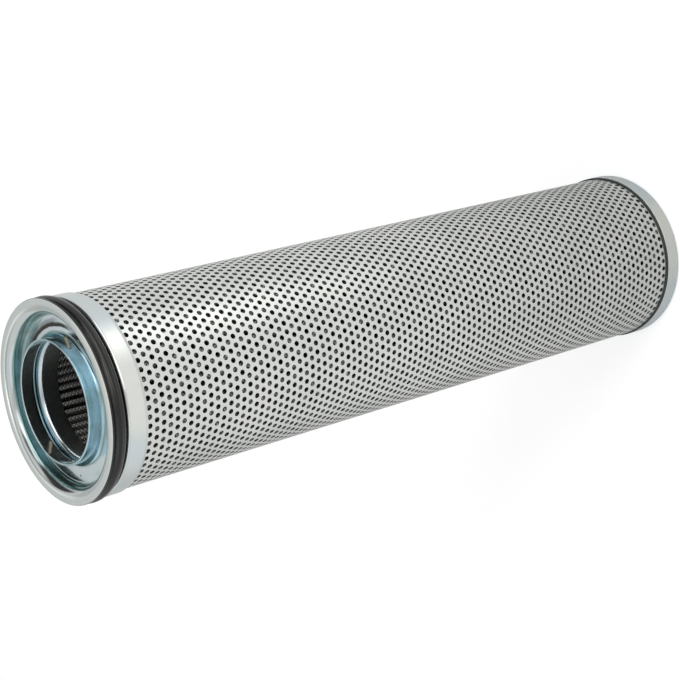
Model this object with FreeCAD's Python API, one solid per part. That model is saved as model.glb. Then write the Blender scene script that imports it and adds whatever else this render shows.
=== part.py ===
import FreeCAD, Part
import math
import os

# A pleated hydraulic return filter element. Oil enters through the neck, passes outwards through
# the pleated sheets and leaves through the perforated tube that holds them.
# Millimetres. +Z is the element's axis, towards the neck. The origin is the centre of the closed
# end cap's outer face, which the element stands on.

# Overall
overall_length = 360.0          # closed end face to neck rim
neck_stand_out = 0.2            # neck rim beyond the flange

# Perforated support tube
tube_diameter = 86.5
tube_sheet = 0.8
tube_end_gap = 1.7              # tube end to the inside of each end cap
skirt_fit = 0.05                # radial gap between tube and end cap skirts
hole_diameter = 18.0            # coarse: the real sheet has 2.4 mm holes at 4 mm pitch
holes_round = 9
hole_rows = 12
bare_end = 4.0                  # unperforated sheet beside each skirt

# Sealing dish: flange, trough and drawn neck, in one sheet
dish_sheet = 1.0
flange_set_back = 0.25          # flange edge inside the seal's outermost line
seal_section = 6.4
seal_stand_out = 0.9            # seal beyond the front end cap's skirt
seal_gap = 0.3                  # beside the seal, to each wall of its groove
trough_corner = 1.5
neck_diameter = 55.0
neck_root = 2.4                 # visible radius between neck and trough floor
rim_break = 0.2                 # broken edge of the neck rim

# End caps, both from the same gauge
cap_sheet = 0.8
cap_corner = 2.2                # outside radius from face to skirt
front_skirt_depth = 9.9
rear_skirt_depth = 9.6
crimp_length = 1.6
crimp_draw = 0.6                # how far the crimped edge is drawn in
inner_skirt_bore = 51.2
inner_skirt_depth = 9.3
inner_skirt_corner = 2.0
panel_diameter = 44.0           # pressed centre of the closed cap
panel_depth = 1.5
panel_corner = 2.0

# Adhesive
potting_depth = 6.0
potting_bevel = 0.2
bead_length = 1.3
bead_height = 0.75
bead_toe = 0.15

# Pleated sheets, from the inside out, each with its thickness
pleat_count = 48
SHEETS = [
    ("inner_wire_mesh", 0.25),
    ("upstream_fleece", 0.12),
    ("glass_fibre_sheet", 0.35),
    ("downstream_fleece", 0.12),
    ("outer_wire_mesh", 0.25),
]
pack_fit = 0.1                  # radial gap of the folds to the inner skirt and to the tube
inner_fold_opening = 0.1        # half the gap left inside each inner fold
outer_fold_opening = 0.6        # half the gap left inside each outer fold
seam_pleat = pleat_count // 4   # the pleat whose crest holds the sheets' two free ends
clip_sheet = 0.4
clip_leg = 5.0

# Derived places
tube_radius = tube_diameter / 2
tube_bore = tube_radius - tube_sheet
flange_top = overall_length - neck_stand_out
flange_under = flange_top - dish_sheet
flange_roll = seal_section / 2  # the seal lies in the roll from the flange to the trough
groove_width = seal_section + 2 * seal_gap
floor_under = flange_under - groove_width
floor_top = floor_under + dish_sheet
skirt_bore = tube_radius + skirt_fit
skirt_radius = skirt_bore + cap_sheet
seal_radius = skirt_radius + seal_stand_out
flange_radius = seal_radius - flange_set_back
seal_seat = seal_radius - seal_section
front_inside = floor_under - cap_sheet
rear_inside = cap_sheet
front_skirt_end = floor_under - front_skirt_depth
rear_skirt_end = rear_skirt_depth
inner_skirt_radius = inner_skirt_bore / 2
inner_skirt_back = inner_skirt_radius + cap_sheet
pack_bottom = rear_inside + potting_depth
pack_top = front_inside - potting_depth
tube_bottom = rear_inside + tube_end_gap
tube_top = front_inside - tube_end_gap

os.makedirs("parts", exist_ok=True)
TOUCHING = 1e-6                 # ends closer than this share one corner
AXIS = FreeCAD.Vector(0, 0, 1)
CENTRE = FreeCAD.Vector(0, 0, 0)
made = {}


def save(name, shape):
    shape.exportStep(f"parts/{name}.step")
    made[name] = shape
    print(f"{name}: {len(shape.Solids)} solid, {shape.Volume:.0f} mm3, valid {shape.isValid()}")


def point(radius, height):
    return FreeCAD.Vector(radius, 0, height)


def turned(corners):
    """Revolve a closed section. Each corner is (radius, height, bend), bend 0 for a sharp one."""
    edges = []
    starts = []
    ends = []
    for i, (radius, height, bend) in enumerate(corners):
        here = point(radius, height)
        before = (point(*corners[i - 1][:2]) - here).normalize()
        after = (point(*corners[(i + 1) % len(corners)][:2]) - here).normalize()
        half = before.getAngle(after) / 2
        reach = bend / math.tan(half)
        starts.append(here + before * reach)
        ends.append(here + after * reach)
        if bend:
            inward = (before + after).normalize()
            middle = here + inward * (bend / math.sin(half) - bend)
            edges.append(Part.Arc(starts[-1], middle, ends[-1]).toShape())
    for i, end in enumerate(ends):
        start = starts[(i + 1) % len(starts)]
        if (start - end).Length > TOUCHING:
            edges.append(Part.LineSegment(end, start).toShape())
    section = Part.Face(Part.Wire(Part.__sortEdges__(edges)))
    return section.revolve(CENTRE, AXIS, 360)


# Sealing dish

def sealing_dish():
    trough_radius = seal_seat - dish_sheet
    neck_radius = neck_diameter / 2
    neck_bore = neck_radius - dish_sheet
    return turned([
        (flange_radius, flange_top, 0),
        (trough_radius, flange_top, flange_roll + dish_sheet),
        (trough_radius, floor_top, trough_corner),
        (neck_radius, floor_top, neck_root),
        (neck_radius, overall_length - rim_break, 0),
        (neck_radius - rim_break, overall_length, 0),
        (neck_bore + rim_break, overall_length, 0),
        (neck_bore, overall_length - rim_break, 0),
        (neck_bore, floor_under, neck_root + dish_sheet),
        (seal_seat, floor_under, trough_corner + dish_sheet),
        (seal_seat, flange_under, flange_roll),
        (flange_radius, flange_under, 0),
    ])


# Seal ring, a round section seated on the dish's outer wall

def seal_ring():
    section = seal_section / 2
    return Part.makeTorus(seal_seat + section, section, point(0, (flange_under + floor_under) / 2))


# Front end cap, an annular pressing with a skirt round the tube and one inside the pleats

def front_end_cap():
    crimp_top = front_skirt_end + crimp_length
    inner_end = floor_under - inner_skirt_depth
    return turned([
        (inner_skirt_radius, floor_under, inner_skirt_corner),
        (skirt_radius, floor_under, cap_corner),
        (skirt_radius, crimp_top, 0),
        (skirt_radius - crimp_draw, front_skirt_end, 0),
        (skirt_bore, front_skirt_end, 0),
        (skirt_bore, front_inside, cap_corner - cap_sheet),
        (inner_skirt_back, front_inside, inner_skirt_corner - cap_sheet),
        (inner_skirt_back, inner_end, 0),
        (inner_skirt_radius, inner_end, 0),
    ])


# Closed rear end cap, with its centre pressed in

def rear_end_cap():
    cup = turned([
        (0, 0, 0),
        (skirt_radius, 0, cap_corner),
        (skirt_radius, rear_skirt_end, 0),
        (skirt_bore, rear_skirt_end, 0),
        (skirt_bore, rear_inside, cap_corner - cap_sheet),
        (0, rear_inside, 0),
    ])
    panel_radius = panel_diameter / 2
    pressed = turned([
        (0, rear_inside, 0),
        (panel_radius + cap_sheet, rear_inside, 0),
        (panel_radius + cap_sheet, rear_inside + panel_depth, panel_corner - cap_sheet),
        (0, rear_inside + panel_depth, 0),
    ])
    hollow = turned([
        (0, 0, 0),
        (panel_radius, 0, 0),
        (panel_radius, panel_depth, 0),
        (0, panel_depth, 0),
    ])
    return cup.fuse(pressed).cut(hollow).removeSplitter()


# Adhesive that the pleats and the tube end stand in

def potting(face, away, outer_bevel, inner_bevel, inner_radius):
    """A ring in a cap: from its inside face, along away (+1 or -1), up the tube's bore."""
    tube_end = face + away * tube_end_gap
    surface = face + away * potting_depth
    return turned([
        (inner_radius + inner_bevel, face, 0),
        (skirt_bore - outer_bevel, face, 0),
        (skirt_bore, face + away * outer_bevel, 0),
        (skirt_bore, tube_end, 0),
        (tube_bore, tube_end, 0),
        (tube_bore, surface, 0),
        (inner_radius, surface, 0),
        (inner_radius, face + away * inner_bevel, 0),
    ])


def front_potting():
    return potting(front_inside, -1, cap_corner - cap_sheet, inner_skirt_corner - cap_sheet,
                   inner_skirt_back)


def rear_potting():
    panel_wall = panel_diameter / 2 + cap_sheet
    return potting(rear_inside, 1, cap_corner - cap_sheet, potting_bevel, panel_wall)


def rear_adhesive_bead():
    return turned([
        (tube_radius, rear_skirt_end, 0),
        (tube_radius + bead_height, rear_skirt_end, 0),
        (tube_radius + bead_height, rear_skirt_end + bead_length / 2, 0),
        (tube_radius + bead_toe, rear_skirt_end + bead_length, 0),
        (tube_radius, rear_skirt_end + bead_length, 0),
    ])


# Perforated tube, with staggered rows of holes

def perforated_tube():
    sheet = turned([
        (tube_bore, tube_bottom, 0),
        (tube_radius, tube_bottom, 0),
        (tube_radius, tube_top, 0),
        (tube_bore, tube_top, 0),
    ])
    first = rear_skirt_end + bare_end + hole_diameter / 2
    last = front_skirt_end - bare_end - hole_diameter / 2
    row_pitch = (last - first) / (hole_rows - 1)
    step = 360.0 / holes_round
    punches = []
    for row in range(hole_rows):
        for place in range(holes_round):
            turn = step * (place + (row % 2) / 2)
            punch = Part.makeCylinder(hole_diameter / 2, 2 * tube_radius - tube_bore,
                                      CENTRE, FreeCAD.Vector(1, 0, 0))
            punch.Placement = FreeCAD.Placement(
                FreeCAD.Vector(0, 0, first + row * row_pitch), FreeCAD.Rotation(AXIS, turn))
            punches.append(punch)
    return sheet.cut(punches)


# Pleated sheets: one folded outline, offset outwards once for each surface

pack_thickness = sum(thickness for _, thickness in SHEETS)
fold_inner_radius = inner_skirt_back + pack_fit
crest_radius = tube_bore - pack_fit
pleat_step = 2 * math.pi / pleat_count


def polar(radius, across, angle):
    """A point on a fold: radius along the fold's own direction, across it sideways."""
    along = FreeCAD.Vector(math.cos(angle), math.sin(angle), 0)
    side = FreeCAD.Vector(-math.sin(angle), math.cos(angle), 0)
    return along * radius + side * across


def pleat_outline():
    """The inside surface of the innermost sheet, four corners to a pleat."""
    corners = []
    inner_half = inner_fold_opening + pack_thickness
    for pleat in range(pleat_count):
        angle = pleat * pleat_step
        crest = crest_radius - pack_thickness
        if pleat == seam_pleat:
            crest -= clip_sheet
        corners.append(polar(crest, -outer_fold_opening, angle))
        corners.append(polar(crest, outer_fold_opening, angle))
        corners.append(polar(fold_inner_radius, -inner_half, angle + pleat_step / 2))
        corners.append(polar(fold_inner_radius, inner_half, angle + pleat_step / 2))
    return corners


def outward(start, end):
    """The outward direction of a side of an outline that runs anticlockwise."""
    side = (end - start).normalize()
    return FreeCAD.Vector(side.y, -side.x, 0)


def offset_outline(corners, distance):
    """Move every side of a closed outline outwards by distance, with mitred corners."""
    moved = []
    for i, here in enumerate(corners):
        before = outward(corners[i - 1], here)
        after = outward(here, corners[(i + 1) % len(corners)])
        moved.append(here + (before + after) * (distance / (1 + before.dot(after))))
    return moved


def flat_face(corners, height):
    raised = [FreeCAD.Vector(p.x, p.y, height) for p in corners]
    return Part.Face(Part.makePolygon(raised + raised[:1]))


def pleated_sheet(inside, outside):
    length = AXIS * (pack_top - pack_bottom)
    return flat_face(outside, pack_bottom).cut(flat_face(inside, pack_bottom)).extrude(length)


def seam_clip(outline):
    """A folded strip over the seam pleat's crest, legs along its two flanks."""
    left = 4 * seam_pleat
    right = left + 1
    before, crest_left, crest_right, after = outline[left - 1:right + 2]
    left_leg = crest_left + (before - crest_left).normalize() * clip_leg
    right_leg = crest_right + (after - crest_right).normalize() * clip_leg
    outer = offset_outline(outline, clip_sheet)
    corners = [
        left_leg, crest_left, crest_right, right_leg,
        right_leg + outward(crest_right, after) * clip_sheet,
        outer[right], outer[left],
        left_leg + outward(before, crest_left) * clip_sheet,
    ]
    return flat_face(corners, pack_bottom).extrude(AXIS * (pack_top - pack_bottom))


save("sealing_dish", sealing_dish())
save("seal_ring", seal_ring())
save("front_end_cap", front_end_cap())
save("rear_end_cap", rear_end_cap())
save("front_potting", front_potting())
save("rear_potting", rear_potting())
save("rear_adhesive_bead", rear_adhesive_bead())
save("perforated_tube", perforated_tube())

surface = pleat_outline()
for name, thickness in SHEETS:
    outer_surface = offset_outline(surface, thickness)
    save(name, pleated_sheet(surface, outer_surface))
    surface = outer_surface
save("seam_clip", seam_clip(surface))

print("pieces", len(made))
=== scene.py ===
# %% [markdown]
# This script dresses a pleated hydraulic filter element. Oil enters through the neck, passes outwards
# through folded sheets of wire mesh and glass fibre, and leaves through a perforated steel tube.
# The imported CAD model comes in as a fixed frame, in metres, standing on its closed end with +Z towards
# the neck. CAD pieces whose shape is already right keep their mesh and only get a finish. The others
# get a finer mesh of the same form, for what the CAD model simplifies: the small holes, the rounded
# folds and the soft edges of the pressings.

# %% Load the frame
import math

import bmesh
import bpy
from mathutils import Matrix, Vector


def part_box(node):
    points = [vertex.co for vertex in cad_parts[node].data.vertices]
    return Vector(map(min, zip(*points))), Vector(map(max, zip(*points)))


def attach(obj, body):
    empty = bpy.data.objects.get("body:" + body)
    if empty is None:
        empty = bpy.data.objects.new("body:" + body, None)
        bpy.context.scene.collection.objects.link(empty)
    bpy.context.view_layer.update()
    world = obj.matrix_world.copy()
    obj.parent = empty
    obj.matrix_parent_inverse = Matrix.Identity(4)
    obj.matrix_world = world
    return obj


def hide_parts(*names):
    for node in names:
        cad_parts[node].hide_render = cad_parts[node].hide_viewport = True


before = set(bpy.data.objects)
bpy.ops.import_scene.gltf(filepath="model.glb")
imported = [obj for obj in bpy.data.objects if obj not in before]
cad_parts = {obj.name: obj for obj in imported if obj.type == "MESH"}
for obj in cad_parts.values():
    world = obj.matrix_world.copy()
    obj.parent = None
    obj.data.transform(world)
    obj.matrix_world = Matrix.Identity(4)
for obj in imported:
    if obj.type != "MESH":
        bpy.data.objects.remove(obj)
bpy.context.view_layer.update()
MM = 0.001
print("CAD pieces:", ", ".join(sorted(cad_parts)))

# %% [markdown]
# Most sizes are read from the frame, so the finer meshes follow the CAD model if it changes. A box
# gives a round piece's outer radius and its two heights, which is all that a turned part needs.

# %% Sizes read from the frame
def radius_of(node):
    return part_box(node)[1].x


def bottom_of(node):
    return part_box(node)[0].z


def top_of(node):
    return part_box(node)[1].z


overall_length = top_of("sealing_dish")
flange_radius = radius_of("sealing_dish")
skirt_radius = radius_of("front_end_cap")
tube_radius = radius_of("perforated_tube")
tube_bottom, tube_top = bottom_of("perforated_tube"), top_of("perforated_tube")
pack_bottom, pack_top = bottom_of("inner_wire_mesh"), top_of("inner_wire_mesh")
print(f"length {overall_length / MM:.1f} mm, tube {2 * tube_radius / MM:.1f} mm across")

# %% [markdown]
# The camera comes from the photograph. Circles drawn round the tube and lines along it were fitted to
# the picture, which fixes where the camera stood, where it looked and how long its lens was. The photo
# shows the element lying across the frame, so the camera that looks at the standing element is rolled.

# %% Camera
CAMERA_PLACE = Vector((0.0, -0.6182, 0.6892))
CAMERA_LOOKS = Vector((-0.0075, 0.7865, -0.6175))
CAMERA_UP = Vector((0.9668, -0.1521, -0.2054))
LENS = 87.02                    # in mm, for a sensor this wide
SENSOR = 36.0

camera = bpy.data.objects.new("camera", bpy.data.cameras.new("camera"))
backwards = -CAMERA_LOOKS.normalized()
rightwards = CAMERA_UP.cross(backwards).normalized()
upwards = backwards.cross(rightwards)
turn = Matrix((rightwards, upwards, backwards)).transposed()
camera.matrix_world = Matrix.Translation(CAMERA_PLACE) @ turn.to_4x4()
camera.data.lens = LENS
camera.data.sensor_width = SENSOR
bpy.context.scene.collection.objects.link(camera)
bpy.context.scene.camera = camera
print("camera looks down at", round(math.degrees(math.asin(-CAMERA_LOOKS.z)), 1), "degrees")

# %% [markdown]
# A material is a small graph of nodes. These helpers keep the graphs short. One adds a node, sets its
# values and joins its inputs. The others wrap the sums, the mixes and the noise that patterns need.

# %% Node helpers: sums and mixes
def add_node(tree, kind, inputs=None, **settings):
    node = tree.nodes.new(kind)
    for name, value in settings.items():
        setattr(node, name, value)
    for key, value in (inputs or {}).items():
        if isinstance(value, bpy.types.NodeSocket):
            tree.links.new(value, node.inputs[key])
        else:
            node.inputs[key].default_value = value
    return node


def sums(tree, operation, *values):
    node = add_node(tree, "ShaderNodeMath", dict(enumerate(values)), operation=operation)
    return node.outputs[0]


def vectors(tree, operation, *values, scale=None):
    inputs = dict(enumerate(values))
    if scale is not None:
        inputs["Scale"] = scale
    node = add_node(tree, "ShaderNodeVectorMath", inputs, operation=operation)
    return node.outputs["Value" if operation in ("LENGTH", "DISTANCE", "DOT_PRODUCT") else "Vector"]


def remap(tree, value, low, high, to_low=0.0, to_high=1.0):
    node = add_node(tree, "ShaderNodeMapRange", {0: value, 1: low, 2: high, 3: to_low, 4: to_high},
                    interpolation_type="SMOOTHSTEP")
    return node.outputs[0]


def mix_numbers(tree, share, first, second):
    return add_node(tree, "ShaderNodeMix", {0: share, 2: first, 3: second}).outputs[0]


def mix_colours(tree, share, first, second):
    node = add_node(tree, "ShaderNodeMix", {0: share, 6: first, 7: second}, data_type="RGBA")
    return node.outputs[2]

# %% Node helpers: places and noise
NOISE_SPAN = (0.3, 0.7)         # noise seldom leaves this span


def noise(tree, place, scale, detail):
    node = add_node(tree, "ShaderNodeTexNoise", {"Vector": place, "Scale": scale, "Detail": detail})
    return node.outputs["Fac"]


def object_place(tree):
    return tree.nodes.new("ShaderNodeTexCoord").outputs["Object"]


def split_vector(tree, vector):
    return add_node(tree, "ShaderNodeSeparateXYZ", {0: vector}).outputs


def level_length(tree, x, y):
    """The length of a level vector. For a place on a piece it is the distance from the axis."""
    squares = [sums(tree, "MULTIPLY", side, side) for side in (x, y)]
    return sums(tree, "SQRT", sums(tree, "ADD", *squares))


def part_towards(tree, x, y, azimuth):
    """How much of a level vector points towards an azimuth in degrees."""
    turn = math.radians(azimuth)
    return sums(tree, "ADD", sums(tree, "MULTIPLY", x, math.cos(turn)),
                sums(tree, "MULTIPLY", y, math.sin(turn)))

# %% Node helpers: groups and materials
def new_group(name, inputs, outputs):
    """A node group with inputs (name: default, a number or a vector) and the named number outputs."""
    group = bpy.data.node_groups.new(name, "ShaderNodeTree")
    for label, default in inputs.items():
        kind = "NodeSocketVector" if isinstance(default, tuple) else "NodeSocketFloat"
        group.interface.new_socket(label, in_out="INPUT", socket_type=kind).default_value = default
    for label in outputs:
        group.interface.new_socket(label, in_out="OUTPUT", socket_type="NodeSocketFloat")
    print("group made:", name)
    return group, group.nodes.new("NodeGroupInput").outputs, group.nodes.new("NodeGroupOutput").inputs


def put_group(tree, group, **values):
    node = tree.nodes.new("ShaderNodeGroup")
    node.node_tree = group
    for label, value in values.items():
        node.inputs[label.replace("_", " ")].default_value = value
    return node.outputs


def new_material(name, roughness=0.5, metallic=0.0):
    material = bpy.data.materials.new(name)
    material.use_nodes = True
    tree = material.node_tree
    shader = tree.nodes["Principled BSDF"]
    shader.inputs["Roughness"].default_value = roughness
    shader.inputs["Metallic"].default_value = metallic
    print("material made:", name)
    return material, tree, shader


def vary_roughness(tree, shader, pattern, low, high):
    tree.links.new(remap(tree, pattern, *NOISE_SPAN, low, high), shader.inputs["Roughness"])


def bump(tree, shader, height, strength, distance):
    inputs = {"Height": height, "Strength": strength, "Distance": distance}
    node = add_node(tree, "ShaderNodeBump", inputs)
    tree.links.new(node.outputs["Normal"], shader.inputs["Normal"])

# %% [markdown]
# Pressed and turned parts carry fine lines that run round their axis. Such lines depend only on the
# distance from the axis and the height, so noise that is fed those two numbers, and only a little of
# the place sideways, draws them on flat faces and on skirts alike. The same group also gives slow
# cloudy patches, finer ones, and the distance from the axis for finishes that change from the rim to
# the middle. Its last number runs from -1 to 1 across the piece, towards -Y.

# %% Group: lines round the axis, and clouds
SLOW_TURN = 12.0                # noise cells to a metre sideways
FINER = 6.0                     # how many times smaller the fine clouds are
turned_lines, given, result = new_group(
    "lines round the axis", {"Lines per mm": 3.0, "Cloud size mm": 18.0},
    ["Lines", "Clouds", "Fine clouds", "Axis mm", "Near side"])
place = object_place(turned_lines)
x, y, z = split_vector(turned_lines, place)
axis_distance = level_length(turned_lines, x, y)
line_place = add_node(turned_lines, "ShaderNodeCombineXYZ", {
    0: sums(turned_lines, "MULTIPLY", axis_distance, 1 / MM),
    1: sums(turned_lines, "MULTIPLY", z, 1 / MM),
    2: sums(turned_lines, "MULTIPLY", x, SLOW_TURN)}).outputs[0]
cloud_scale = sums(turned_lines, "DIVIDE", 1 / MM, given["Cloud size mm"])
fine_scale = sums(turned_lines, "MULTIPLY", cloud_scale, FINER)
nearness = sums(turned_lines, "MULTIPLY", y, -1.0)
patterns = {
    "Lines": noise(turned_lines, line_place, given["Lines per mm"], 3.0),
    "Clouds": noise(turned_lines, place, cloud_scale, 2.0),
    "Fine clouds": noise(turned_lines, place, fine_scale, 4.0),
    "Axis mm": sums(turned_lines, "DIVIDE", axis_distance, MM),
    "Near side": sums(turned_lines, "DIVIDE", nearness, axis_distance),
}
for label, value in patterns.items():
    turned_lines.links.new(value, result[label])

# %% [markdown]
# The neck has two small slanting smears. A smear is everything that lies near the line between two
# points: the nearest point of that line is found first, then the distance to it, and a little noise
# frays the edge. The result runs from nothing at the edge to one along the middle.

# %% Group: a smear between two points
FRAY_SCALE = 1.3                # noise cells to a millimetre
FRAY_SPAN = (1.1, 0.35)         # shares of the half width where a smear sets in and is full
smear_group, given, result = new_group(
    "smear between two points",
    {"From mm": (0.0, 0.0, 0.0), "To mm": (0.0, 0.0, 0.0), "Half width mm": 1.0}, ["Smear"])
in_mm = vectors(smear_group, "SCALE", object_place(smear_group), scale=1 / MM)
from_start = vectors(smear_group, "SUBTRACT", in_mm, given["From mm"])
whole = vectors(smear_group, "SUBTRACT", given["To mm"], given["From mm"])
share = sums(smear_group, "DIVIDE", vectors(smear_group, "DOT_PRODUCT", from_start, whole),
             vectors(smear_group, "DOT_PRODUCT", whole, whole))
share = sums(smear_group, "MINIMUM", sums(smear_group, "MAXIMUM", share, 0.0), 1.0)
nearest = vectors(smear_group, "SCALE", whole, scale=share)
distance = vectors(smear_group, "LENGTH", vectors(smear_group, "SUBTRACT", from_start, nearest))
frayed = noise(smear_group, in_mm, FRAY_SCALE, 4.0)
reach = sums(smear_group, "ADD", sums(smear_group, "DIVIDE", distance, given["Half width mm"]),
             sums(smear_group, "SUBTRACT", frayed, 0.5))
smear_group.links.new(remap(smear_group, reach, *FRAY_SPAN), result["Smear"])

# %% [markdown]
# Dark arcs round the axis are painted: in the trough a painted reflection of the neck, and on the neck
# painted shade. An arc is darkest on one line, whose radius may change along the way, and fades inwards
# and outwards from it over its own widths and towards both ends.

# %% Group: a painted dark arc
ARC_END = 0.2                   # the share of its length over which each end fades
ARC_GRAIN = 0.25                # cells to a millimetre of the noise that bends its line
ARC_BEND = 0.8                  # and how far, in mm
INNER_FADE = (-1.0, -0.4)       # shares of the width inwards where it sets in and is full
OUTER_FADE = (1.0, 0.3)
painted_arc, given, result = new_group(
    "painted dark arc",
    {"From degrees": 0.0, "To degrees": 90.0, "First radius mm": 30.0, "Last radius mm": 30.0,
     "Inwards mm": 1.0, "Outwards mm": 1.0}, ["Oil"])
place = object_place(painted_arc)
x, y, _ = split_vector(painted_arc, place)
turned_to = sums(painted_arc, "DEGREES", sums(painted_arc, "ARCTAN2", y, x))
span = sums(painted_arc, "SUBTRACT", given["To degrees"], given["From degrees"])
along = sums(painted_arc, "DIVIDE", sums(painted_arc, "SUBTRACT", turned_to, given["From degrees"]), span)
ends = sums(painted_arc, "MULTIPLY", remap(painted_arc, along, 0.0, ARC_END),
            remap(painted_arc, along, 1.0, 1.0 - ARC_END))
radius = mix_numbers(painted_arc, along, given["First radius mm"], given["Last radius mm"])
from_axis = sums(painted_arc, "DIVIDE", level_length(painted_arc, x, y), MM)
uneven = noise(painted_arc, place, ARC_GRAIN / MM, 3.0)
off = sums(painted_arc, "ADD", sums(painted_arc, "SUBTRACT", from_axis, radius),
           sums(painted_arc, "MULTIPLY", sums(painted_arc, "SUBTRACT", uneven, 0.5), ARC_BEND))
inner_fade = remap(painted_arc, sums(painted_arc, "DIVIDE", off, given["Inwards mm"]), *INNER_FADE)
outer_fade = remap(painted_arc, sums(painted_arc, "DIVIDE", off, given["Outwards mm"]), *OUTER_FADE)
sideways = sums(painted_arc, "MULTIPLY", inner_fade, outer_fade)
painted_arc.links.new(sums(painted_arc, "MULTIPLY", ends, sideways), result["Oil"])

# %% [markdown]
# Zinc plate with a blue passivation is a bright metal under a very thin film. The film gives a pale
# blue that drifts to lilac and ivory where it is thin, and to teal where it lies thick, as on the drawn
# neck and in the trough, whose dark teal wall is partly painted shade. One number, the film, runs
# through a colour ramp. It comes from the distance to the axis and the cloudy patches. Some rings also
# change towards -Y: that is a painted highlight on the near side, and it turns the caps' blue skirts
# ivory. The fine lines vary the roughness.

# %% Material: blue-passivated zinc plate
FILM_COLOURS = {0.00: (0.60, 0.84, 0.97), 0.20: (0.27, 0.39, 0.36), 0.45: (0.66, 0.77, 0.79),
                0.60: (0.73, 0.80, 0.84), 0.78: (0.75, 0.81, 0.79), 1.00: (0.86, 0.88, 0.83)}
FILM_DRIFT = 0.5                # how far the clouds move the film
RING_EDGE = 0.1                 # the width in mm over which a ring sets in
LINE_ROUGHNESS = (-0.05, 0.06)


def zinc_plate(name, roughness, film_by_radius, near_side_light):
    """film_by_radius: (radius in mm, film) from the middle outwards.
    near_side_light: (from radius, to radius, film, start, end) of rings whose film changes towards -Y,
    from the start to the end share of that direction, as a painted highlight on the near side."""
    material, tree, shader = new_material(name, metallic=1.0)
    pattern = put_group(tree, turned_lines, Lines_per_mm=2.6, Cloud_size_mm=16.0)
    level = film_by_radius[0][1]
    for (radius, _), (further, film) in zip(film_by_radius, film_by_radius[1:]):
        level = mix_numbers(tree, remap(tree, pattern["Axis mm"], radius, further), level, film)
    # Rings that change towards -Y are painted highlights on the near side.
    for inner, outer, film, first, last in near_side_light:
        on_ring = sums(tree, "MULTIPLY", remap(tree, pattern["Axis mm"], inner - RING_EDGE, inner),
                       remap(tree, pattern["Axis mm"], outer + RING_EDGE, outer))
        near = sums(tree, "MULTIPLY", on_ring, remap(tree, pattern["Near side"], first, last))
        level = mix_numbers(tree, near, level, film)
    drift = sums(tree, "MULTIPLY", sums(tree, "SUBTRACT", pattern["Clouds"], 0.5), FILM_DRIFT)
    ramp = tree.nodes.new("ShaderNodeValToRGB")
    stops = ramp.color_ramp.elements
    stops.remove(stops[1])
    for film, colour in FILM_COLOURS.items():
        stop = stops[0] if film == 0 else stops.new(film)
        stop.color = (*colour, 1)
    tree.links.new(sums(tree, "ADD", level, drift), ramp.inputs["Fac"])
    vary_roughness(tree, shader, pattern["Lines"], *[roughness + change for change in LINE_ROUGHNESS])
    bump(tree, shader, pattern["Lines"], strength=0.10, distance=0.03 * MM)
    return material, tree, shader, ramp.outputs["Color"]


CAP_FILMS = ((27.0, 0.62), (33.0, 0.67))
# A painted highlight: the skirts turn ivory on the near side.
SKIRT_NEAR_SIDE_LIGHT = (43.2, 44.3, 0.97, 0.78, 0.97)
zinc, tree, shader, colour = zinc_plate("zinc_plate", 0.18, CAP_FILMS, (SKIRT_NEAR_SIDE_LIGHT,))
tree.links.new(colour, shader.inputs["Base Color"])

# %% [markdown]
# The dish wears the same plate, but not evenly. Its film changes with the distance from the axis, and
# the trough's wall is dark teal: partly its film, partly painted shade in the recess. On the trough's
# wall and the flange the film also changes from side to side, a painted highlight on the near side. A
# thin dark arc with a paler one outside it is painted on the trough's floor, a painted reflection of the
# neck, and another arc on the neck is painted shade. Two smears sit on the neck, and the flange's
# sheared rim is painted near-black, painted shade between the flange and the seal.

# %% The dish: where its film and its marks lie
WALL = (37.3, 37.9)             # the trough's wall, in mm from the axis
ROLL_END = 38.8                 # where the wall has turned into the flange
FLANGE_FACE = 39.2
RIM = (44.5, 44.7)
# The wall's film of 0.20 is the ramp's dark teal, partly film and partly painted shade in the recess.
# The near-side rings are painted highlights.
DISH_FILMS = ((26.7, 0.45), (27.3, 0.03), (28.0, 0.03), (30.5, 0.52), (35.5, 0.52),
              (WALL[0], 0.20), (WALL[1], 0.20), (ROLL_END, 0.79))
DISH_NEAR_SIDE_LIGHT = ((WALL[0], ROLL_END, 0.60, -0.2, 0.5), (FLANGE_FACE, RIM[1], 1.0, 0.6, 1.0))
NECK_SMEARS = (                 # from and to as (radius, degrees, height), and half width
    ((27.5, -26, 353.4), (27.5, -42, 356.6), 1.2),
    ((26.5, 127, 354.8), (26.5, 139, 358.6), 1.1),
)
SPECK = ((33.5, 168.0, 352.8), (33.7, 168.4, 352.8), 0.5)
# The first two arcs are a painted reflection of the neck on the trough's floor, the third painted shade
# on the neck. Their brown also serves the real speck.
PAINTED_ARCS = (                    # from and to in degrees, radius there, spread in and out, depth of tone
    (-40, 60, 31.9, 32.3, 0.9, 1.8, 1.0),
    (-20, 66, 33.6, 34.0, 1.6, 2.0, 0.50),
    (-45, 1, 27.6, 27.6, 0.5, 0.5, 0.60),
)
BROWN = (0.17, 0.12, 0.07, 1)
ARC_AND_SPECK_BROWN = (0.040, 0.037, 0.027, 1)
TAN = (0.42, 0.40, 0.32, 1)
# Painted shade on the flange's sheared rim, between the flange and the seal.
RIM_PAINTED_SHADE = (0.05, 0.055, 0.055, 1)
BROWN_SPAN = (0.0, 0.4)         # a smear is brown from its edge
TAN_SPAN = (0.45, 1.0)          # and tan in its middle
SMEAR_COVERS = 0.8              # how much of the metal a smear hides
print(len(PAINTED_ARCS), "arcs and", len(NECK_SMEARS), "smears on the dish")

# %% Material: the dish
def round_place(radius, degrees, height):
    angle = math.radians(degrees)
    return radius * math.cos(angle), radius * math.sin(angle), height


def put_smear(tree, first, last, half_width):
    return put_group(tree, smear_group, From_mm=round_place(*first), To_mm=round_place(*last),
                     Half_width_mm=half_width)["Smear"]


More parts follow.
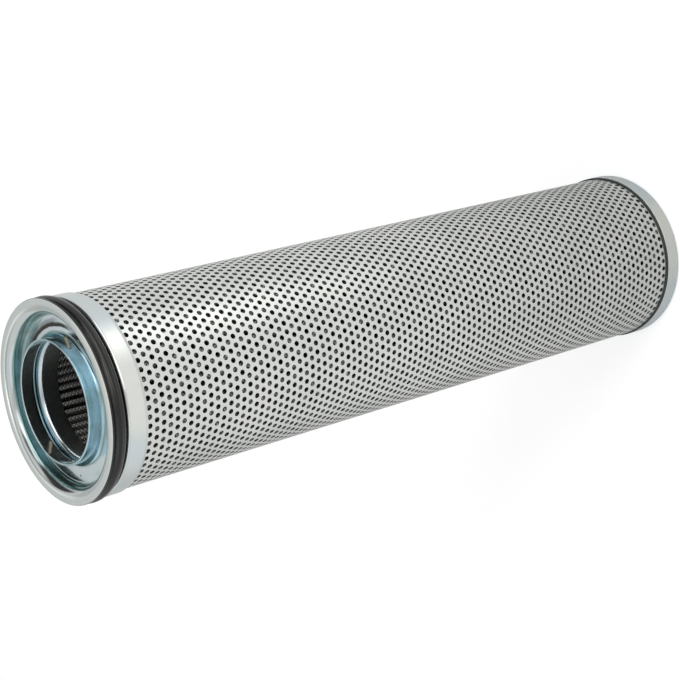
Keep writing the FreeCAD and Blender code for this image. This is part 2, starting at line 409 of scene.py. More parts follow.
dish_finish, tree, shader, colour = zinc_plate("dish_zinc_plate", 0.15, DISH_FILMS, DISH_NEAR_SIDE_LIGHT)
for first, last, first_radius, last_radius, inwards, outwards, depth in PAINTED_ARCS:
    arc = put_group(tree, painted_arc, From_degrees=first, To_degrees=last, First_radius_mm=first_radius,
                    Last_radius_mm=last_radius, Inwards_mm=inwards, Outwards_mm=outwards)
    colour = mix_colours(tree, sums(tree, "MULTIPLY", arc["Oil"], depth), colour, ARC_AND_SPECK_BROWN)
colour = mix_colours(tree, put_smear(tree, *SPECK), colour, ARC_AND_SPECK_BROWN)
metal = 1.0
for first, last, half_width in NECK_SMEARS:
    smear = put_smear(tree, first, last, half_width)
    colour = mix_colours(tree, remap(tree, smear, *BROWN_SPAN), colour, BROWN)
    colour = mix_colours(tree, remap(tree, smear, *TAN_SPAN), colour, TAN)
    metal = sums(tree, "SUBTRACT", metal, sums(tree, "MULTIPLY", smear, SMEAR_COVERS))
from_axis = put_group(tree, turned_lines)["Axis mm"]
# Painted shade: the flange's rim is painted near-black.
colour = mix_colours(tree, remap(tree, from_axis, *RIM), colour, RIM_PAINTED_SHADE)
tree.links.new(colour, shader.inputs["Base Color"])
tree.links.new(metal, shader.inputs["Metallic"])

# %% [markdown]
# The tube is bright tinned sheet: pale, nearly neutral and satin. The clouds stain it faintly, and
# the finer ones vary its gloss.

# %% Material: tinned sheet
TIN_DULL = (0.775, 0.800, 0.770, 1)
TIN_BRIGHT = (0.845, 0.860, 0.830, 1)
tinned, tree, shader = new_material("tinned_sheet", metallic=1.0)
pattern = put_group(tree, turned_lines, Lines_per_mm=1.4, Cloud_size_mm=30.0)
tone = mix_colours(tree, remap(tree, pattern["Clouds"], *NOISE_SPAN), TIN_DULL, TIN_BRIGHT)
tree.links.new(tone, shader.inputs["Base Color"])
vary_roughness(tree, shader, pattern["Fine clouds"], 0.20, 0.32)
bump(tree, shader, pattern["Fine clouds"], strength=0.10, distance=0.05 * MM)

# %% [markdown]
# The seal is nitrile rubber, black with a soft sheen. Bloom, together with a painted reflection, lifts
# the black in streaks along the cord, which come from the same lines round the axis, and in slower
# patches.

# %% Material: black rubber
RUBBER_BLACK = (0.007, 0.007, 0.007, 1)
# The streaks are partly bloom, partly a painted reflection.
BLOOM_AND_REFLECTION = (0.055, 0.052, 0.048, 1)
STREAK_SPAN = (0.50, 0.66)      # of the lines' noise
PATCH_SPAN = (0.35, 0.65)       # and of the clouds'
rubber, tree, shader = new_material("black_rubber")
pattern = put_group(tree, turned_lines, Lines_per_mm=0.9, Cloud_size_mm=14.0)
streak = sums(tree, "MULTIPLY", remap(tree, pattern["Lines"], *STREAK_SPAN),
              remap(tree, pattern["Clouds"], *PATCH_SPAN, 0.25, 1.0))
tone = mix_colours(tree, streak, RUBBER_BLACK, BLOOM_AND_REFLECTION)
tree.links.new(tone, shader.inputs["Base Color"])
vary_roughness(tree, shader, pattern["Fine clouds"], 0.13, 0.22)
bump(tree, shader, pattern["Fine clouds"], strength=0.15, distance=0.05 * MM)

# %% [markdown]
# The adhesive that holds the pack and the tube in the caps is a dark resin. It is poured in and sets
# with a soft, slightly lumpy surface, so a weak relief from small clouds is enough.

# %% Material: adhesive
RESIN_DARK = (0.010, 0.014, 0.012, 1)
RESIN_LIGHT = (0.035, 0.045, 0.038, 1)
adhesive, tree, shader = new_material("adhesive")
pattern = put_group(tree, turned_lines, Lines_per_mm=0.6, Cloud_size_mm=6.0)
tone = mix_colours(tree, pattern["Clouds"], RESIN_DARK, RESIN_LIGHT)
tree.links.new(tone, shader.inputs["Base Color"])
vary_roughness(tree, shader, pattern["Fine clouds"], 0.25, 0.5)
bump(tree, shader, pattern["Clouds"], strength=0.4, distance=0.2 * MM)

# %% [markdown]
# A plain weave passes each wire over one crossing wire and under the next. Two families of lines at
# whole numbers of the pitch give the wires, and a cosine that changes sign from wire to wire lifts each
# one in turn. Light comes down from the neck, so the crowns of the wires that lie across it get a
# painted highlight and the lengthwise ones only a faint one. The pattern reads a UV map that unrolls the
# folded sheet in metres.

# %% Group: woven wire
WEAVE_MAP = "unrolled"
# The crowns' brightness is a painted highlight.
LENGTHWISE_GLINT = 0.15               # brightness of the lengthwise crowns beside the cross ones
WARP_CROWN = (1.6, 2.9)         # heights between which a lengthwise wire turns bright
WEFT_CROWN = (1.3, 2.7)         # and a cross one
woven_wire, given, result = new_group(
    "woven wire", {"Pitch mm": 0.93, "Wire share": 0.60}, ["Height", "Crown glint"])
unrolled = add_node(woven_wire, "ShaderNodeUVMap", uv_map=WEAVE_MAP).outputs[0]
u, v, _ = split_vector(woven_wire, unrolled)
pitch = sums(woven_wire, "MULTIPLY", given["Pitch mm"], MM)
across = sums(woven_wire, "DIVIDE", u, pitch)
along = sums(woven_wire, "DIVIDE", v, pitch)


def wire_family(tree, wire_share, own, other, side):
    """The height, up to 3, of the wires that lie at whole numbers of own, waving along other."""
    number = sums(tree, "ROUND", own)
    offset = sums(tree, "ABSOLUTE", sums(tree, "SUBTRACT", own, number))
    radius = sums(tree, "MULTIPLY", wire_share, 0.5)
    inside = sums(tree, "LESS_THAN", offset, radius)
    ratio = sums(tree, "MINIMUM", sums(tree, "DIVIDE", offset, radius), 1.0)
    dome = sums(tree, "SQRT", sums(tree, "SUBTRACT", 1.0, sums(tree, "MULTIPLY", ratio, ratio)))
    odd = sums(tree, "MULTIPLY", sums(tree, "FLOORED_MODULO", number, 2.0), math.pi)
    wave = sums(tree, "COSINE", sums(tree, "ADD", sums(tree, "MULTIPLY", other, math.pi), odd))
    lifted = sums(tree, "ADD", sums(tree, "MULTIPLY", wave, side), 1.0)
    return sums(tree, "MULTIPLY", inside, sums(tree, "ADD", dome, lifted))


warp_height = wire_family(woven_wire, given["Wire share"], across, along, 1.0)
weft_height = wire_family(woven_wire, given["Wire share"], along, across, -1.0)
woven_wire.links.new(sums(woven_wire, "MAXIMUM", warp_height, weft_height), result["Height"])
# The crowns get painted highlights, strong on the cross wires and faint on the lengthwise ones.
lengthwise = sums(woven_wire, "MULTIPLY", remap(woven_wire, warp_height, *WARP_CROWN), LENGTHWISE_GLINT)
crosswise = remap(woven_wire, weft_height, *WEFT_CROWN)
woven_wire.links.new(sums(woven_wire, "MAXIMUM", lengthwise, crosswise), result["Crown glint"])

# %% [markdown]
# The mesh wears that weave in two tones, pale crowns with a little metal in them over near-black gaps.
# Fleece and glass fibre hardly show, so plain fine noise stands for their matt fibres.

# %% Materials: wire mesh, fleece and glass fibre
WEAVE_TOP = 3.0                 # the greatest height of the weave
CROWN_METAL = 0.3


def wire_mesh(name, crown_glint_colour, gap_shade_colour):
    material, tree, shader = new_material(name)
    weave = put_group(tree, woven_wire)
    colour = mix_colours(tree, weave["Crown glint"], gap_shade_colour, crown_glint_colour)
    tree.links.new(colour, shader.inputs["Base Color"])
    tree.links.new(sums(tree, "MULTIPLY", weave["Crown glint"], CROWN_METAL), shader.inputs["Metallic"])
    tree.links.new(remap(tree, weave["Height"], 0.0, WEAVE_TOP, 0.8, 0.35), shader.inputs["Roughness"])
    bump(tree, shader, weave["Height"], strength=1.0, distance=0.12 * MM)
    return material


def fibre_mat(name, low, high, grain):
    material, tree, shader = new_material(name, roughness=0.95)
    fibres = noise(tree, object_place(tree), grain, 6.0)
    tree.links.new(mix_colours(tree, fibres, low, high), shader.inputs["Base Color"])
    bump(tree, shader, fibres, strength=0.5, distance=0.1 * MM)
    return material


# The inner mesh carries painted highlights. The outer mesh is the same weave darker, in painted shade.
inner_mesh_painted_lit = wire_mesh("inner_wire_mesh", (0.95, 0.93, 0.88, 1), (0.035, 0.035, 0.033, 1))
outer_mesh_painted_shade = wire_mesh("outer_wire_mesh", (0.50, 0.50, 0.47, 1), (0.090, 0.091, 0.086, 1))
fleece = fibre_mat("fleece", (0.70, 0.70, 0.68, 1), (0.88, 0.88, 0.86, 1), 900.0)
glass_fibre = fibre_mat("glass_fibre", (0.80, 0.79, 0.74, 1), (0.93, 0.92, 0.88, 1), 500.0)

# %% [markdown]
# A CAD piece keeps its mesh and gets its finish through its material slots. That is enough for the
# pieces that hardly show: the adhesive in both caps and the clip on the pleats' seam.

# %% Finish the CAD pieces that keep their own mesh
def finish_node(node, material):
    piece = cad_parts[node]
    if not piece.material_slots:
        piece.data.materials.append(material)
    for slot in piece.material_slots:
        slot.material = material
    print(f"{node} keeps its mesh, in {material.name}")


for node in ("front_potting", "rear_potting"):
    finish_node(node, adhesive)
finish_node("seam_clip", zinc)

# %% [markdown]
# Every finer mesh goes through the same last steps. Points that coincide are joined, all faces face
# outwards and are shaded smooth, edges sharper than a limit stay crisp, and the piece rides on the CAD
# body. On the pressings, weighted normals also keep wide flat faces flat in the reflections, right up
# to the small bends beside them.

# %% Finish a mesh as a piece
CRISP = math.radians(35)        # an edge that turns more than this stays crisp
JOIN = 0.001 * MM
FACE_WEIGHT = 100               # lets the large faces decide the normals


def make_piece(name, mesh, material, slot, *replaced):
    bmesh.ops.remove_doubles(mesh, verts=mesh.verts, dist=JOIN)
    bmesh.ops.recalc_face_normals(mesh, faces=mesh.faces)
    for face in mesh.faces:
        face.smooth = True
    for edge in mesh.edges:
        edge.smooth = len(edge.link_faces) == 2 and edge.calc_face_angle() < CRISP
    data = bpy.data.meshes.new(name)
    mesh.to_mesh(data)
    mesh.free()
    data.materials.append(material)
    piece = bpy.data.objects.new(name, data)
    bpy.context.scene.collection.objects.link(piece)
    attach(piece, "root")
    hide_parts(*replaced)
    data.calc_loop_triangles()
    print(f"{name}: {len(data.loop_triangles)} triangles")
    return piece


def flatten_reflections(piece):
    weighted = piece.modifiers.new("weighted normals", "WEIGHTED_NORMAL")
    weighted.keep_sharp = True
    weighted.weight = FACE_WEIGHT

# %% [markdown]
# The dish, both caps, the seal and the bead of adhesive are bodies of revolution. Each is one closed
# outline of corners, every corner with its own bend radius, swept round the axis. That is how a press
# tool or a lathe would make them, and it keeps each section readable.

# %% Turned pieces: an outline, swept round the axis
ROUND_STEPS = 256
BEND_STEPS = 8


def rounded_outline(corners):
    """Points of a closed outline. Each corner is (radius, height, bend) in millimetres."""
    points = []
    for i, (radius, height, bend) in enumerate(corners):
        here = Vector((radius, height))
        before = (Vector(corners[i - 1][:2]) - here).normalized()
        after = (Vector(corners[(i + 1) % len(corners)][:2]) - here).normalized()
        if not bend:
            points.append(here)
            continue
        half = before.angle(after) / 2
        start = here + before * bend / math.tan(half)
        centre = here + (before + after).normalized() * bend / math.sin(half)
        sweep = before.angle_signed(after)
        turned_by = math.copysign(math.pi - abs(sweep), sweep)
        spoke = start - centre
        for step in range(BEND_STEPS + 1):
            angle = turned_by * step / BEND_STEPS
            spun = Vector((spoke.x * math.cos(angle) - spoke.y * math.sin(angle),
                           spoke.x * math.sin(angle) + spoke.y * math.cos(angle)))
            points.append(centre + spun)
    return points


def turned(points, wobble=None):
    """Sweep outline points (radius, height), in millimetres, round the axis into a closed mesh."""
    mesh = bmesh.new()
    rings = []
    for step in range(ROUND_STEPS):
        angle = 2 * math.pi * step / ROUND_STEPS
        swell = wobble(angle) if wobble else 1.0
        rings.append([mesh.verts.new(
            (r * swell * math.cos(angle) * MM, r * swell * math.sin(angle) * MM, h * MM))
            for r, h in points])
    for step, ring in enumerate(rings):
        following = rings[(step + 1) % ROUND_STEPS]
        for i in range(len(points)):
            j = (i + 1) % len(points)
            mesh.faces.new((ring[i], following[i], following[j], ring[j]))
    return mesh

# %% [markdown]
# The dish is pressed from one sheet: a flange, rolled round the seal that it holds in, a trough, and a
# neck drawn up again in the middle. The real sheet has no knife edges, so the flange and the neck's
# rim are rounded off a little, which is where the light catches them.

# %% Sealing dish
DISH_SHEET = 1.0
TROUGH_CORNER = 1.5
NECK_RADIUS = 27.5
NECK_ROOT = 2.4
NECK_STAND_OUT = 0.2
EDGE = 0.3                      # how far a sheared edge is rounded

neck_top = overall_length / MM
flange_top = neck_top - NECK_STAND_OUT
flange_under = flange_top - DISH_SHEET
floor_under = top_of("front_end_cap") / MM
floor_top = floor_under + DISH_SHEET
seal_section = (top_of("seal_ring") - bottom_of("seal_ring")) / MM
seal_seat = radius_of("seal_ring") / MM - seal_section
flange_roll = seal_section / 2  # the seal lies in the roll
trough_radius = seal_seat - DISH_SHEET
neck_bore = NECK_RADIUS - DISH_SHEET
flange = flange_radius / MM

dish = make_piece("sealing_dish_pressing", turned(rounded_outline([
    (flange, flange_top, EDGE),
    (trough_radius, flange_top, flange_roll + DISH_SHEET),
    (trough_radius, floor_top, TROUGH_CORNER),
    (NECK_RADIUS, floor_top, NECK_ROOT),
    (NECK_RADIUS, neck_top, EDGE),
    (neck_bore, neck_top, EDGE),
    (neck_bore, floor_under, NECK_ROOT + DISH_SHEET),
    (seal_seat, floor_under, TROUGH_CORNER + DISH_SHEET),
    (seal_seat, flange_under, flange_roll),
    (flange, flange_under, EDGE),
])), dish_finish, "zinc_plate", "sealing_dish")
flatten_reflections(dish)

# %% [markdown]
# The front cap is an annular pressing with a deep skirt round the tube and a shallow one inside the
# pleats. The skirt's free edge is crimped in, so it grips the tube.

# %% Front end cap
CAP_SHEET = 0.8
CAP_CORNER = 2.2
FRONT_CORNER = 1.3              # the front cap is drawn a little sharper
CRIMP_LENGTH = 1.6
CRIMP_DRAW = 0.6
CRIMP_BEND = 0.8
INNER_SKIRT_RADIUS = 25.6
INNER_SKIRT_DEPTH = 9.3
INNER_SKIRT_CORNER = 2.0
CAP_EDGE = 0.15

skirt = skirt_radius / MM
skirt_bore = skirt - CAP_SHEET
skirt_end = bottom_of("front_end_cap") / MM
front_inside = floor_under - CAP_SHEET
inner_back = INNER_SKIRT_RADIUS + CAP_SHEET

front_cap = make_piece("front_end_cap_pressing", turned(rounded_outline([
    (INNER_SKIRT_RADIUS, floor_under, INNER_SKIRT_CORNER),
    (skirt, floor_under, FRONT_CORNER),
    (skirt, skirt_end + CRIMP_LENGTH, CRIMP_BEND),
    (skirt - CRIMP_DRAW, skirt_end, 0),
    (skirt_bore, skirt_end, 0),
    (skirt_bore, front_inside, FRONT_CORNER - CAP_SHEET),
    (inner_back, front_inside, INNER_SKIRT_CORNER - CAP_SHEET),
    (inner_back, floor_under - INNER_SKIRT_DEPTH, CAP_EDGE),
    (INNER_SKIRT_RADIUS, floor_under - INNER_SKIRT_DEPTH, CAP_EDGE),
])), zinc, "zinc_plate", "front_end_cap")
flatten_reflections(front_cap)

# %% [markdown]
# The rear cap closes the element. The photo hides its face, so it gets what such caps usually have: a
# plain face with a shallow pressed panel, which stiffens the sheet. The outline starts and ends on the
# axis, where the sweep's rings shrink to one point.

# %% Rear end cap
PANEL_RADIUS = 22.0
PANEL_DEPTH = 1.5
PANEL_CORNER = 2.0
PANEL_EDGE = 0.6
rear_skirt_end = top_of("rear_end_cap") / MM
panel_back = PANEL_RADIUS + CAP_SHEET

rear_cap = make_piece("rear_end_cap_pressing", turned(rounded_outline([
    (0, PANEL_DEPTH, 0),
    (PANEL_RADIUS, PANEL_DEPTH, PANEL_EDGE),
    (PANEL_RADIUS, 0, PANEL_EDGE),
    (skirt, 0, CAP_CORNER),
    (skirt, rear_skirt_end, CAP_EDGE),
    (skirt_bore, rear_skirt_end, CAP_EDGE),
    (skirt_bore, CAP_SHEET, CAP_CORNER - CAP_SHEET),
    (panel_back, CAP_SHEET, 0),
    (panel_back, CAP_SHEET + PANEL_DEPTH, PANEL_CORNER - CAP_SHEET),
    (0, CAP_SHEET + PANEL_DEPTH, 0),
])), zinc, "zinc_plate", "rear_end_cap")
flatten_reflections(rear_cap)

# %% [markdown]
# The seal is a round cord of rubber. The bead of adhesive was squeezed out between the rear skirt and
# the tube, so it is never quite even: a few sine waves of unrelated lengths make it swell and thin out.

# %% Seal ring
SEAL_SIDES = 32
seal_middle = (top_of("seal_ring") + bottom_of("seal_ring")) / 2 / MM
seal_radius = seal_section / 2
circle = []
for side in range(SEAL_SIDES):
    angle = 2 * math.pi * side / SEAL_SIDES
    circle.append((seal_seat + seal_radius + seal_radius * math.cos(angle),
                   seal_middle - seal_radius * math.sin(angle)))
make_piece("seal_ring_round", turned(circle), rubber, "black_rubber", "seal_ring")

# %% Rear bead
BEAD_UNEVEN = 0.0012            # half of its swelling, as a share of the radius
BEAD_WAVES = ((7, 0.0, 1.0), (17, 1.3, 1.0), (41, 0.4, 0.7))   # number round it, phase, height
BEAD_SINK = 0.1                 # it starts a little inside the tube's face
BEAD_BEND = 0.6
tube = tube_radius / MM
bead_top = top_of("rear_adhesive_bead") / MM
bead_radius = radius_of("rear_adhesive_bead") / MM


def squeezed(angle):
    waves = sum(height * math.sin(number * angle + phase) for number, phase, height in BEAD_WAVES)
    highest = sum(height for _, _, height in BEAD_WAVES)
    return 1.0 - BEAD_UNEVEN * (1.0 + waves / highest)


make_piece("rear_adhesive_bead_squeezed", turned(rounded_outline([
    (tube - BEAD_SINK, rear_skirt_end, 0),
    (tube - BEAD_SINK, bead_top, 0),
    (bead_radius, bead_top, BEAD_BEND),
    (bead_radius, rear_skirt_end, 0),
]), squeezed), adhesive, "adhesive", "rear_adhesive_bead")

# %% [markdown]
# The pleats are five sheets folded together. Every fold is an arc, and the straight flank between an
# outer and an inner fold touches both arcs. A sheet that lies further out has a larger radius at the
# outer folds and a smaller one at the inner folds by the same amount, so one line, moved outwards,
# gives every surface of the pack. The UV map unrolls it for the weave: along the folded line, and up.

# %% Pleats: sizes
PLEATS = 48
SEAM_PLEAT = PLEATS // 4        # its crest lies lower, under the clip
CLIP_SHEET = 0.4
PACK_FIT = 0.1                  # room to the tube and to the inner skirt
OUTER_FOLD = 0.6                # bend radius of the innermost surface at a crest
INNER_FOLD = 0.94               # and at an inner fold
FOLD_STEPS = 7
SHEETS = {"inner_wire_mesh": 0.25, "upstream_fleece": 0.12, "glass_fibre_sheet": 0.35,
          "downstream_fleece": 0.12, "outer_wire_mesh": 0.25}
TUBE_SHEET = 0.8
tube_bore = tube - TUBE_SHEET
pack_thickness = sum(SHEETS.values())
half_pleat = math.pi / PLEATS
inner_centre = inner_back + PACK_FIT + INNER_FOLD
print(f"{PLEATS} pleats of sheets that are {pack_thickness:.2f} mm thick together")

# %% Pleats: the folded line
def at(radius, angle):
    return Vector((radius * math.cos(angle), radius * math.sin(angle)))


def crest_centre(pleat):
    radius = tube_bore - PACK_FIT - pack_thickness - OUTER_FOLD
    return radius - CLIP_SHEET if pleat == SEAM_PLEAT else radius


def flank_normal(pleat):
    """The angle between a pleat's middle line and the outward normal of its flanks."""
    gap = at(inner_centre, half_pleat) - at(crest_centre(pleat), 0)
    return math.atan2(gap.y, gap.x) - math.acos((OUTER_FOLD + INNER_FOLD) / gap.length)


def folded_line(outwards):
    points = []
    for pleat in range(PLEATS):
        middle = 2 * half_pleat * pleat
        normal, following = flank_normal(pleat), flank_normal((pleat + 1) % PLEATS)
        for step in range(FOLD_STEPS + 1):
            angle = middle - normal + 2 * normal * step / FOLD_STEPS
            points.append(at(crest_centre(pleat), middle) + at(OUTER_FOLD + outwards, angle))
        valley = middle + half_pleat
        for step in range(FOLD_STEPS + 1):
            share = step / FOLD_STEPS
            angle = (middle + normal) * (1 - share) + (middle + 2 * half_pleat - following) * share
            points.append(at(inner_centre, valley) - at(INNER_FOLD - outwards, angle))
    return points

# %% Pleats: one folded sheet
def add_unrolled_face(mesh, unroll, corners):
    face = mesh.faces.new([vert for vert, _, _ in corners])
    for loop, (_, u, v) in zip(face.loops, corners):
        loop[unroll].uv = (u, v)


def folded_sheet(inside, outside):
    """The sheet between two surfaces, given by how far each lies outside the innermost one."""
    mesh = bmesh.new()
    unroll = mesh.loops.layers.uv.new(WEAVE_MAP)
    low, high = pack_bottom, pack_top
    walls = [[[mesh.verts.new((p.x * MM, p.y * MM, height)) for height in (low, high)]
              for p in folded_line(distance)] for distance in (inside, outside)]
    lengths = [0.0]
    line = folded_line((inside + outside) / 2)
    for i, p in enumerate(line):
        lengths.append(lengths[-1] + (line[(i + 1) % len(line)] - p).length * MM)
    for i in range(len(line)):
        j = (i + 1) % len(line)
        for wall in walls:
            add_unrolled_face(mesh, unroll, [
                (wall[i][0], lengths[i], low), (wall[j][0], lengths[i + 1], low),
                (wall[j][1], lengths[i + 1], high), (wall[i][1], lengths[i], high)])
        for end, height in ((0, low), (1, high)):
            add_unrolled_face(mesh, unroll, [
                (walls[0][i][end], lengths[i], height), (walls[0][j][end], lengths[i + 1], height),
                (walls[1][j][end], lengths[i + 1], height), (walls[1][i][end], lengths[i], height)])
    return mesh

# %% Pleats: five sheets
sheet_finishes = {
    "inner_wire_mesh": (inner_mesh_painted_lit, "steel_wire"),
    "upstream_fleece": (fleece, "fleece"),
    "glass_fibre_sheet": (glass_fibre, "glass_fibre"),
    "downstream_fleece": (fleece, "fleece"),
    "outer_wire_mesh": (outer_mesh_painted_shade, "steel_wire"),
}
inside = 0.0
for name, thickness in SHEETS.items():
    finish, slot = sheet_finishes[name]
    make_piece(name + "_folded", folded_sheet(inside, inside + thickness), finish, slot, name)
    inside += thickness

# %% [markdown]
# The tube is one rolled sheet with round holes of 2.4 mm in staggered rings. Each hole sits in the
# middle of a brick-shaped cell, and the cells of the next ring are half a cell further round, so the
# whole sheet is one cell repeated. The mesh has the sheet's real thickness, which shows in every hole
# as a bright edge. It is cut between rings into bands only to keep each mesh a reasonable size.

# %% Tube: the pattern of holes
HOLES_ROUND = 68
RING_PITCH = 3.4547 * MM
FIRST_RING = 340.91 * MM        # the ring that the front cap's crimped edge just covers
RINGS = 96
HOLE_RADIUS = 1.2 * MM
HOLE_SIDES = 16
FIRST_TURN = math.radians(-90.0)
cell_turn = 2 * math.pi / HOLES_ROUND
bore_radius = tube_bore * MM
print(HOLES_ROUND * RINGS, "holes,", round(cell_turn * tube_radius / MM, 2), "mm apart round the tube")

# %% Tube: one cell
def on_tube(radius, angle, height):
    return Vector((radius * math.cos(angle), radius * math.sin(angle), height))


def cell_edge(mesh, radius, turn, height):
    """The cell's eight border points, anticlockwise from the middle of its right side."""
    half_turn, half_height = cell_turn / 2, RING_PITCH / 2
    offsets = [(1, 0), (1, 1), (0, 1), (-1, 1), (-1, 0), (-1, -1), (0, -1), (1, -1)]
    return [mesh.verts.new(on_tube(radius, turn + u * half_turn, height + v * half_height))
            for u, v in offsets]


def hole_edge(mesh, radius, turn, height):
    edge = []
    for side in range(HOLE_SIDES):
        angle = 2 * math.pi * side / HOLE_SIDES
        sideways, rise = HOLE_RADIUS * math.cos(angle) / tube_radius, HOLE_RADIUS * math.sin(angle)
        edge.append(mesh.verts.new(on_tube(radius, turn + sideways, height + rise)))
    return edge


def punched_cell(mesh, turn, height):
    rims = []
    for radius in (tube_radius, bore_radius):
        border = cell_edge(mesh, radius, turn, height)
        rim = hole_edge(mesh, radius, turn, height)
        share = HOLE_SIDES // len(border)
        for i in range(len(border)):
            inner = [rim[(share * i + k) % HOLE_SIDES] for k in range(share + 1)]
            mesh.faces.new([border[i], border[(i + 1) % len(border)]] + inner[::-1])
        rims.append(rim)
    for side in range(HOLE_SIDES):
        after = (side + 1) % HOLE_SIDES
        mesh.faces.new((rims[0][side], rims[0][after], rims[1][after], rims[1][side]))

# %% Tube: plain strips and the ends of a band
def columns():
    """The two sides of each column half a cell wide, once round the tube."""
    for column in range(2 * HOLES_ROUND):
        yield [FIRST_TURN + (column + k) * cell_turn / 2 for k in (0, 1)]


def plain_strip(mesh, low, high):
    """Unpunched sheet between two heights."""
    for turns in columns():
        for radius in (tube_radius, bore_radius):
            mesh.faces.new([mesh.verts.new(on_tube(radius, turns[u], height))
                            for u, height in ((0, low), (1, low), (1, high), (0, high))])


def close_band(mesh, height):
    for turns in columns():
        ends = ((0, bore_radius), (0, tube_radius), (1, tube_radius), (1, bore_radius))
        mesh.faces.new([mesh.verts.new(on_tube(radius, turns[u], height)) for u, radius in ends])

# %% Tube: three bands
bands = {"perforated_tube_front": range(0, 32),
         "perforated_tube_middle": range(32, 64),
         "perforated_tube_rear": range(64, RINGS)}
for name, rings in bands.items():
    mesh = bmesh.new()
    for ring in rings:
        height = FIRST_RING - ring * RING_PITCH
        for place in range(HOLES_ROUND):
            punched_cell(mesh, FIRST_TURN + (place + ring % 2 / 2) * cell_turn, height)
    high = FIRST_RING - (rings[0] - 0.5) * RING_PITCH
    low = FIRST_RING - (rings[-1] + 0.5) * RING_PITCH
    if rings[0] == 0:
        plain_strip(mesh, high, tube_top)
        high = tube_top
    if rings[-1] == RINGS - 1:
        plain_strip(mesh, tube_bottom, low)
        low = tube_bottom
    close_band(mesh, high)
    close_band(mesh, low)
    make_piece(name, mesh, tinned, "tinned_sheet", "perforated_tube")

# %% [markdown]
# The floor is a plain pale surface. It is lit as any surface is, so it keeps the element's shadow, and
# a little light of its own lifts it to white for the camera. Bright metal is mostly a picture of what
# stands round it, and the standing tube mirrors the floor. In reflections only, the floor has a painted
# pool of light, like the soft patch a studio lamp leaves, which draws the streak along the front of the
# tube. Behind the element and close to its foot it is painted a little duller in reflections, a painted
# shadow, which rounds the tube.

# %% Floor
FLOOR_SIZE = 12.0
floor_mesh = bpy.data.meshes.new("floor")
half = FLOOR_SIZE / 2
floor_mesh.from_pydata([(-half, -half, 0), (half, -half, 0), (half, half, 0), (-half, half, 0)], [],
                       [(0, 1, 2, 3)])
floor = bpy.data.objects.new("floor", floor_mesh)
bpy.context.scene.collection.objects.link(floor)
print("floor:", FLOOR_SIZE, "m wide")

# %% Material: the floor
FLOOR_COLOUR = (0.72, 0.72, 0.72, 1)
FLOOR_LIFT = 0.50               # light of its own, for the camera
MIRROR_LIFT = 0.16              # and in reflections, away from the element's foot
# Close to the foot the lift in reflections falls away, a painted shade.
FOOT_SHADE_REACH = (0.05, 0.30)       # distances from the foot, in metres, over which that sets in
# A painted pool of light, seen only in reflections.
LIGHT_POOL_PLACE = (0.43, -0.36)
LIGHT_POOL_REACH = 0.33
LIGHT_POOL_LIFT = 0.62
# A painted shadow behind the element, seen only in reflections.
PAINTED_SHADOW_SIDE = (125, 50, -0.13)    # azimuth and half width in degrees, and lift
WHITE = (1, 1, 1, 1)
floor_material, tree, shader = new_material("floor", roughness=0.9)
shader.inputs["Base Color"].default_value = FLOOR_COLOUR
shader.inputs["Specular IOR Level"].default_value = 0.0
rays = tree.nodes.new("ShaderNodeLightPath").outputs
place = object_place(tree)
from_light_pool = vectors(tree, "DISTANCE", place, (*LIGHT_POOL_PLACE, 0))
from_foot = vectors(tree, "LENGTH", place)
glow = sums(tree, "ADD", remap(tree, from_light_pool, LIGHT_POOL_REACH, 0.0, 0.0, LIGHT_POOL_LIFT),
            remap(tree, from_foot, *FOOT_SHADE_REACH, 0.0, MIRROR_LIFT))
east, north, _ = split_vector(tree, vectors(tree, "NORMALIZE", place))
azimuth, half_width, side_lift = PAINTED_SHADOW_SIDE
facing = part_towards(tree, east, north, azimuth)
painted_shadow = remap(tree, facing, math.cos(math.radians(half_width)), 1.0, 0.0, side_lift)
glow = sums(tree, "MAXIMUM", sums(tree, "ADD", glow, painted_shadow), 0.0)
mirrored = sums(tree, "MAXIMUM", rays["Is Glossy Ray"], rays["Is Transmission Ray"])
lift = sums(tree, "ADD", sums(tree, "MULTIPLY", rays["Is Camera Ray"], FLOOR_LIFT),
            sums(tree, "MULTIPLY", mirrored, glow))
shader.inputs["Emission Color"].default_value = WHITE
tree.links.new(lift, shader.inputs["Emission Strength"])
floor_mesh.materials.append(floor_material)

# %% [markdown]
# A pressed dish shows its form only where the surroundings change from light to dark. So the studio's
# shell is pale grey with soft-edged panels in it. Low in front of the element is a bright window, with
# two small lamps and a strip light in it, a dark screen to its right and another high above it. To its
# left are two grey boards. Behind are a dim board high up with one narrow slit of light, a low one,
# and a soft band between them. Only bright surfaces mirror the panels. Matt surfaces get even light,
# and the camera sees plain white.

# %% World: the studio's panels
SHELL = 0.66
PANELS = (                      # azimuth, half width, lowest, highest, softness in degrees, brightness
    (90, 36, 42, 90, 8, 0.44),
    (91.5, 4, 44, 60, 3, 1.70),
    (90, 24, 2, 28, 1.5, 0.50),
    (90, 12, 31, 41, 3, 0.95),
    (-155, 28, 8, 52, 8, 0.80),
    (-108, 14, 20, 80, 8, 0.52),
    (-50, 36, 8, 42, 7, 1.10),
    (-75, 14, 30, 56, 7, 1.10),
    (-46, 9, 9, 24, 3, 2.40),
    (-45, 50, 10, 17, 3, 2.80),
    (-64, 9, 30, 48, 4, 2.20),
    (22, 34, 10, 47, 6, 0.04),
    (-31, 24, 45, 70, 6, 0.12),
)
MATT_LIGHT = 0.62
ZENITH = 90
print(len(PANELS), "panels in the studio")

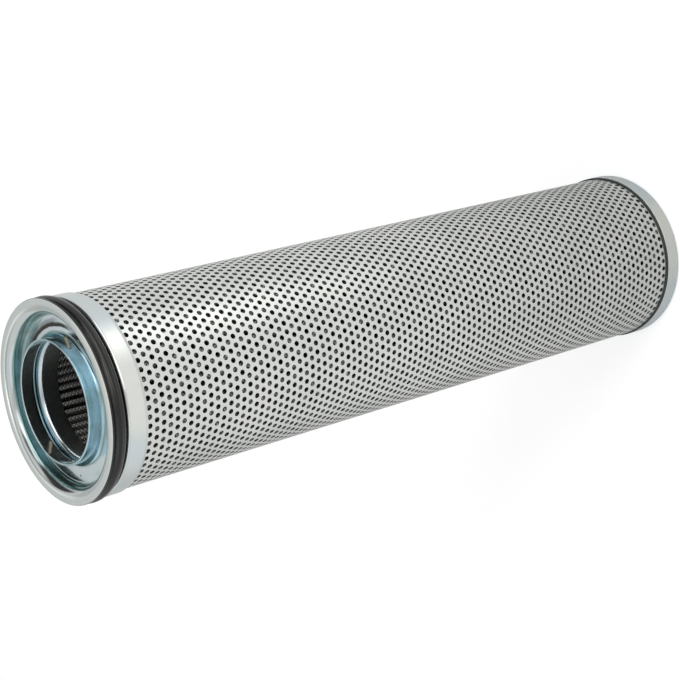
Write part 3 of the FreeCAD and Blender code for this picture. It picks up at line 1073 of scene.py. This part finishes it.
# %% World: what each kind of ray sees
world = bpy.data.worlds.new("studio")
bpy.context.scene.world = world
world.use_nodes = True
tree = world.node_tree
rays = tree.nodes.new("ShaderNodeLightPath").outputs
direction = tree.nodes.new("ShaderNodeTexCoord").outputs["Generated"]
east, north, up = split_vector(tree, direction)
level = level_length(tree, east, north)


def sine(degrees):
    return math.sin(math.radians(max(-ZENITH, min(ZENITH, degrees))))


shell = SHELL
for azimuth, half_width, lowest, highest, softness, brightness in PANELS:
    facing = sums(tree, "DIVIDE", part_towards(tree, east, north, azimuth), level)
    side = ZENITH - half_width  # its sine is the cosine of the half width
    inside_panel = remap(tree, facing, sine(side - softness), sine(side + softness))
    inside_panel = sums(tree, "MULTIPLY", inside_panel,
                        remap(tree, up, sine(lowest - softness), sine(lowest + softness)))
    if highest < ZENITH:
        inside_panel = sums(tree, "MULTIPLY", inside_panel,
                            remap(tree, up, sine(highest + softness), sine(highest - softness)))
    shell = mix_numbers(tree, inside_panel, shell, brightness)
mirrored = sums(tree, "MAXIMUM", rays["Is Glossy Ray"], rays["Is Transmission Ray"])
seen = mix_numbers(tree, mirrored, MATT_LIGHT, shell)
strength = mix_numbers(tree, rays["Is Camera Ray"], seen, 1.0)
background = tree.nodes["Background"]
background.inputs["Color"].default_value = WHITE
tree.links.new(strength, background.inputs["Strength"])

# %% [markdown]
# Two area lamps give the matt surfaces their shading and the floor its soft shadow: a key light in
# front on one side, and a weaker fill light on the other. Metal doesn't mirror them, because the
# panels of the world stand for them there.

# %% Lamps
def softbox(name, place, aim, size, watts):
    light = bpy.data.lights.new(name, "AREA")
    light.shape = "RECTANGLE"
    light.size, light.size_y = size
    light.energy = watts
    lamp = bpy.data.objects.new(name, light)
    lamp.location = place
    lamp.rotation_euler = (Vector(aim) - Vector(place)).to_track_quat("-Z", "Y").to_euler()
    lamp.visible_glossy = False
    bpy.context.scene.collection.objects.link(lamp)
    print(f"lamp {name}: {watts} W")


middle = (0, 0, overall_length / 2)
softbox("key", (0.75, -0.95, 1.3), middle, (0.8, 0.8), 7)
softbox("fill", (-1.1, -0.8, 0.9), middle, (0.9, 0.9), 3)

# %% [markdown]
# The Standard view transform shows each colour as it is written.

# %% Picture settings
bpy.context.scene.view_settings.view_transform = "Standard"
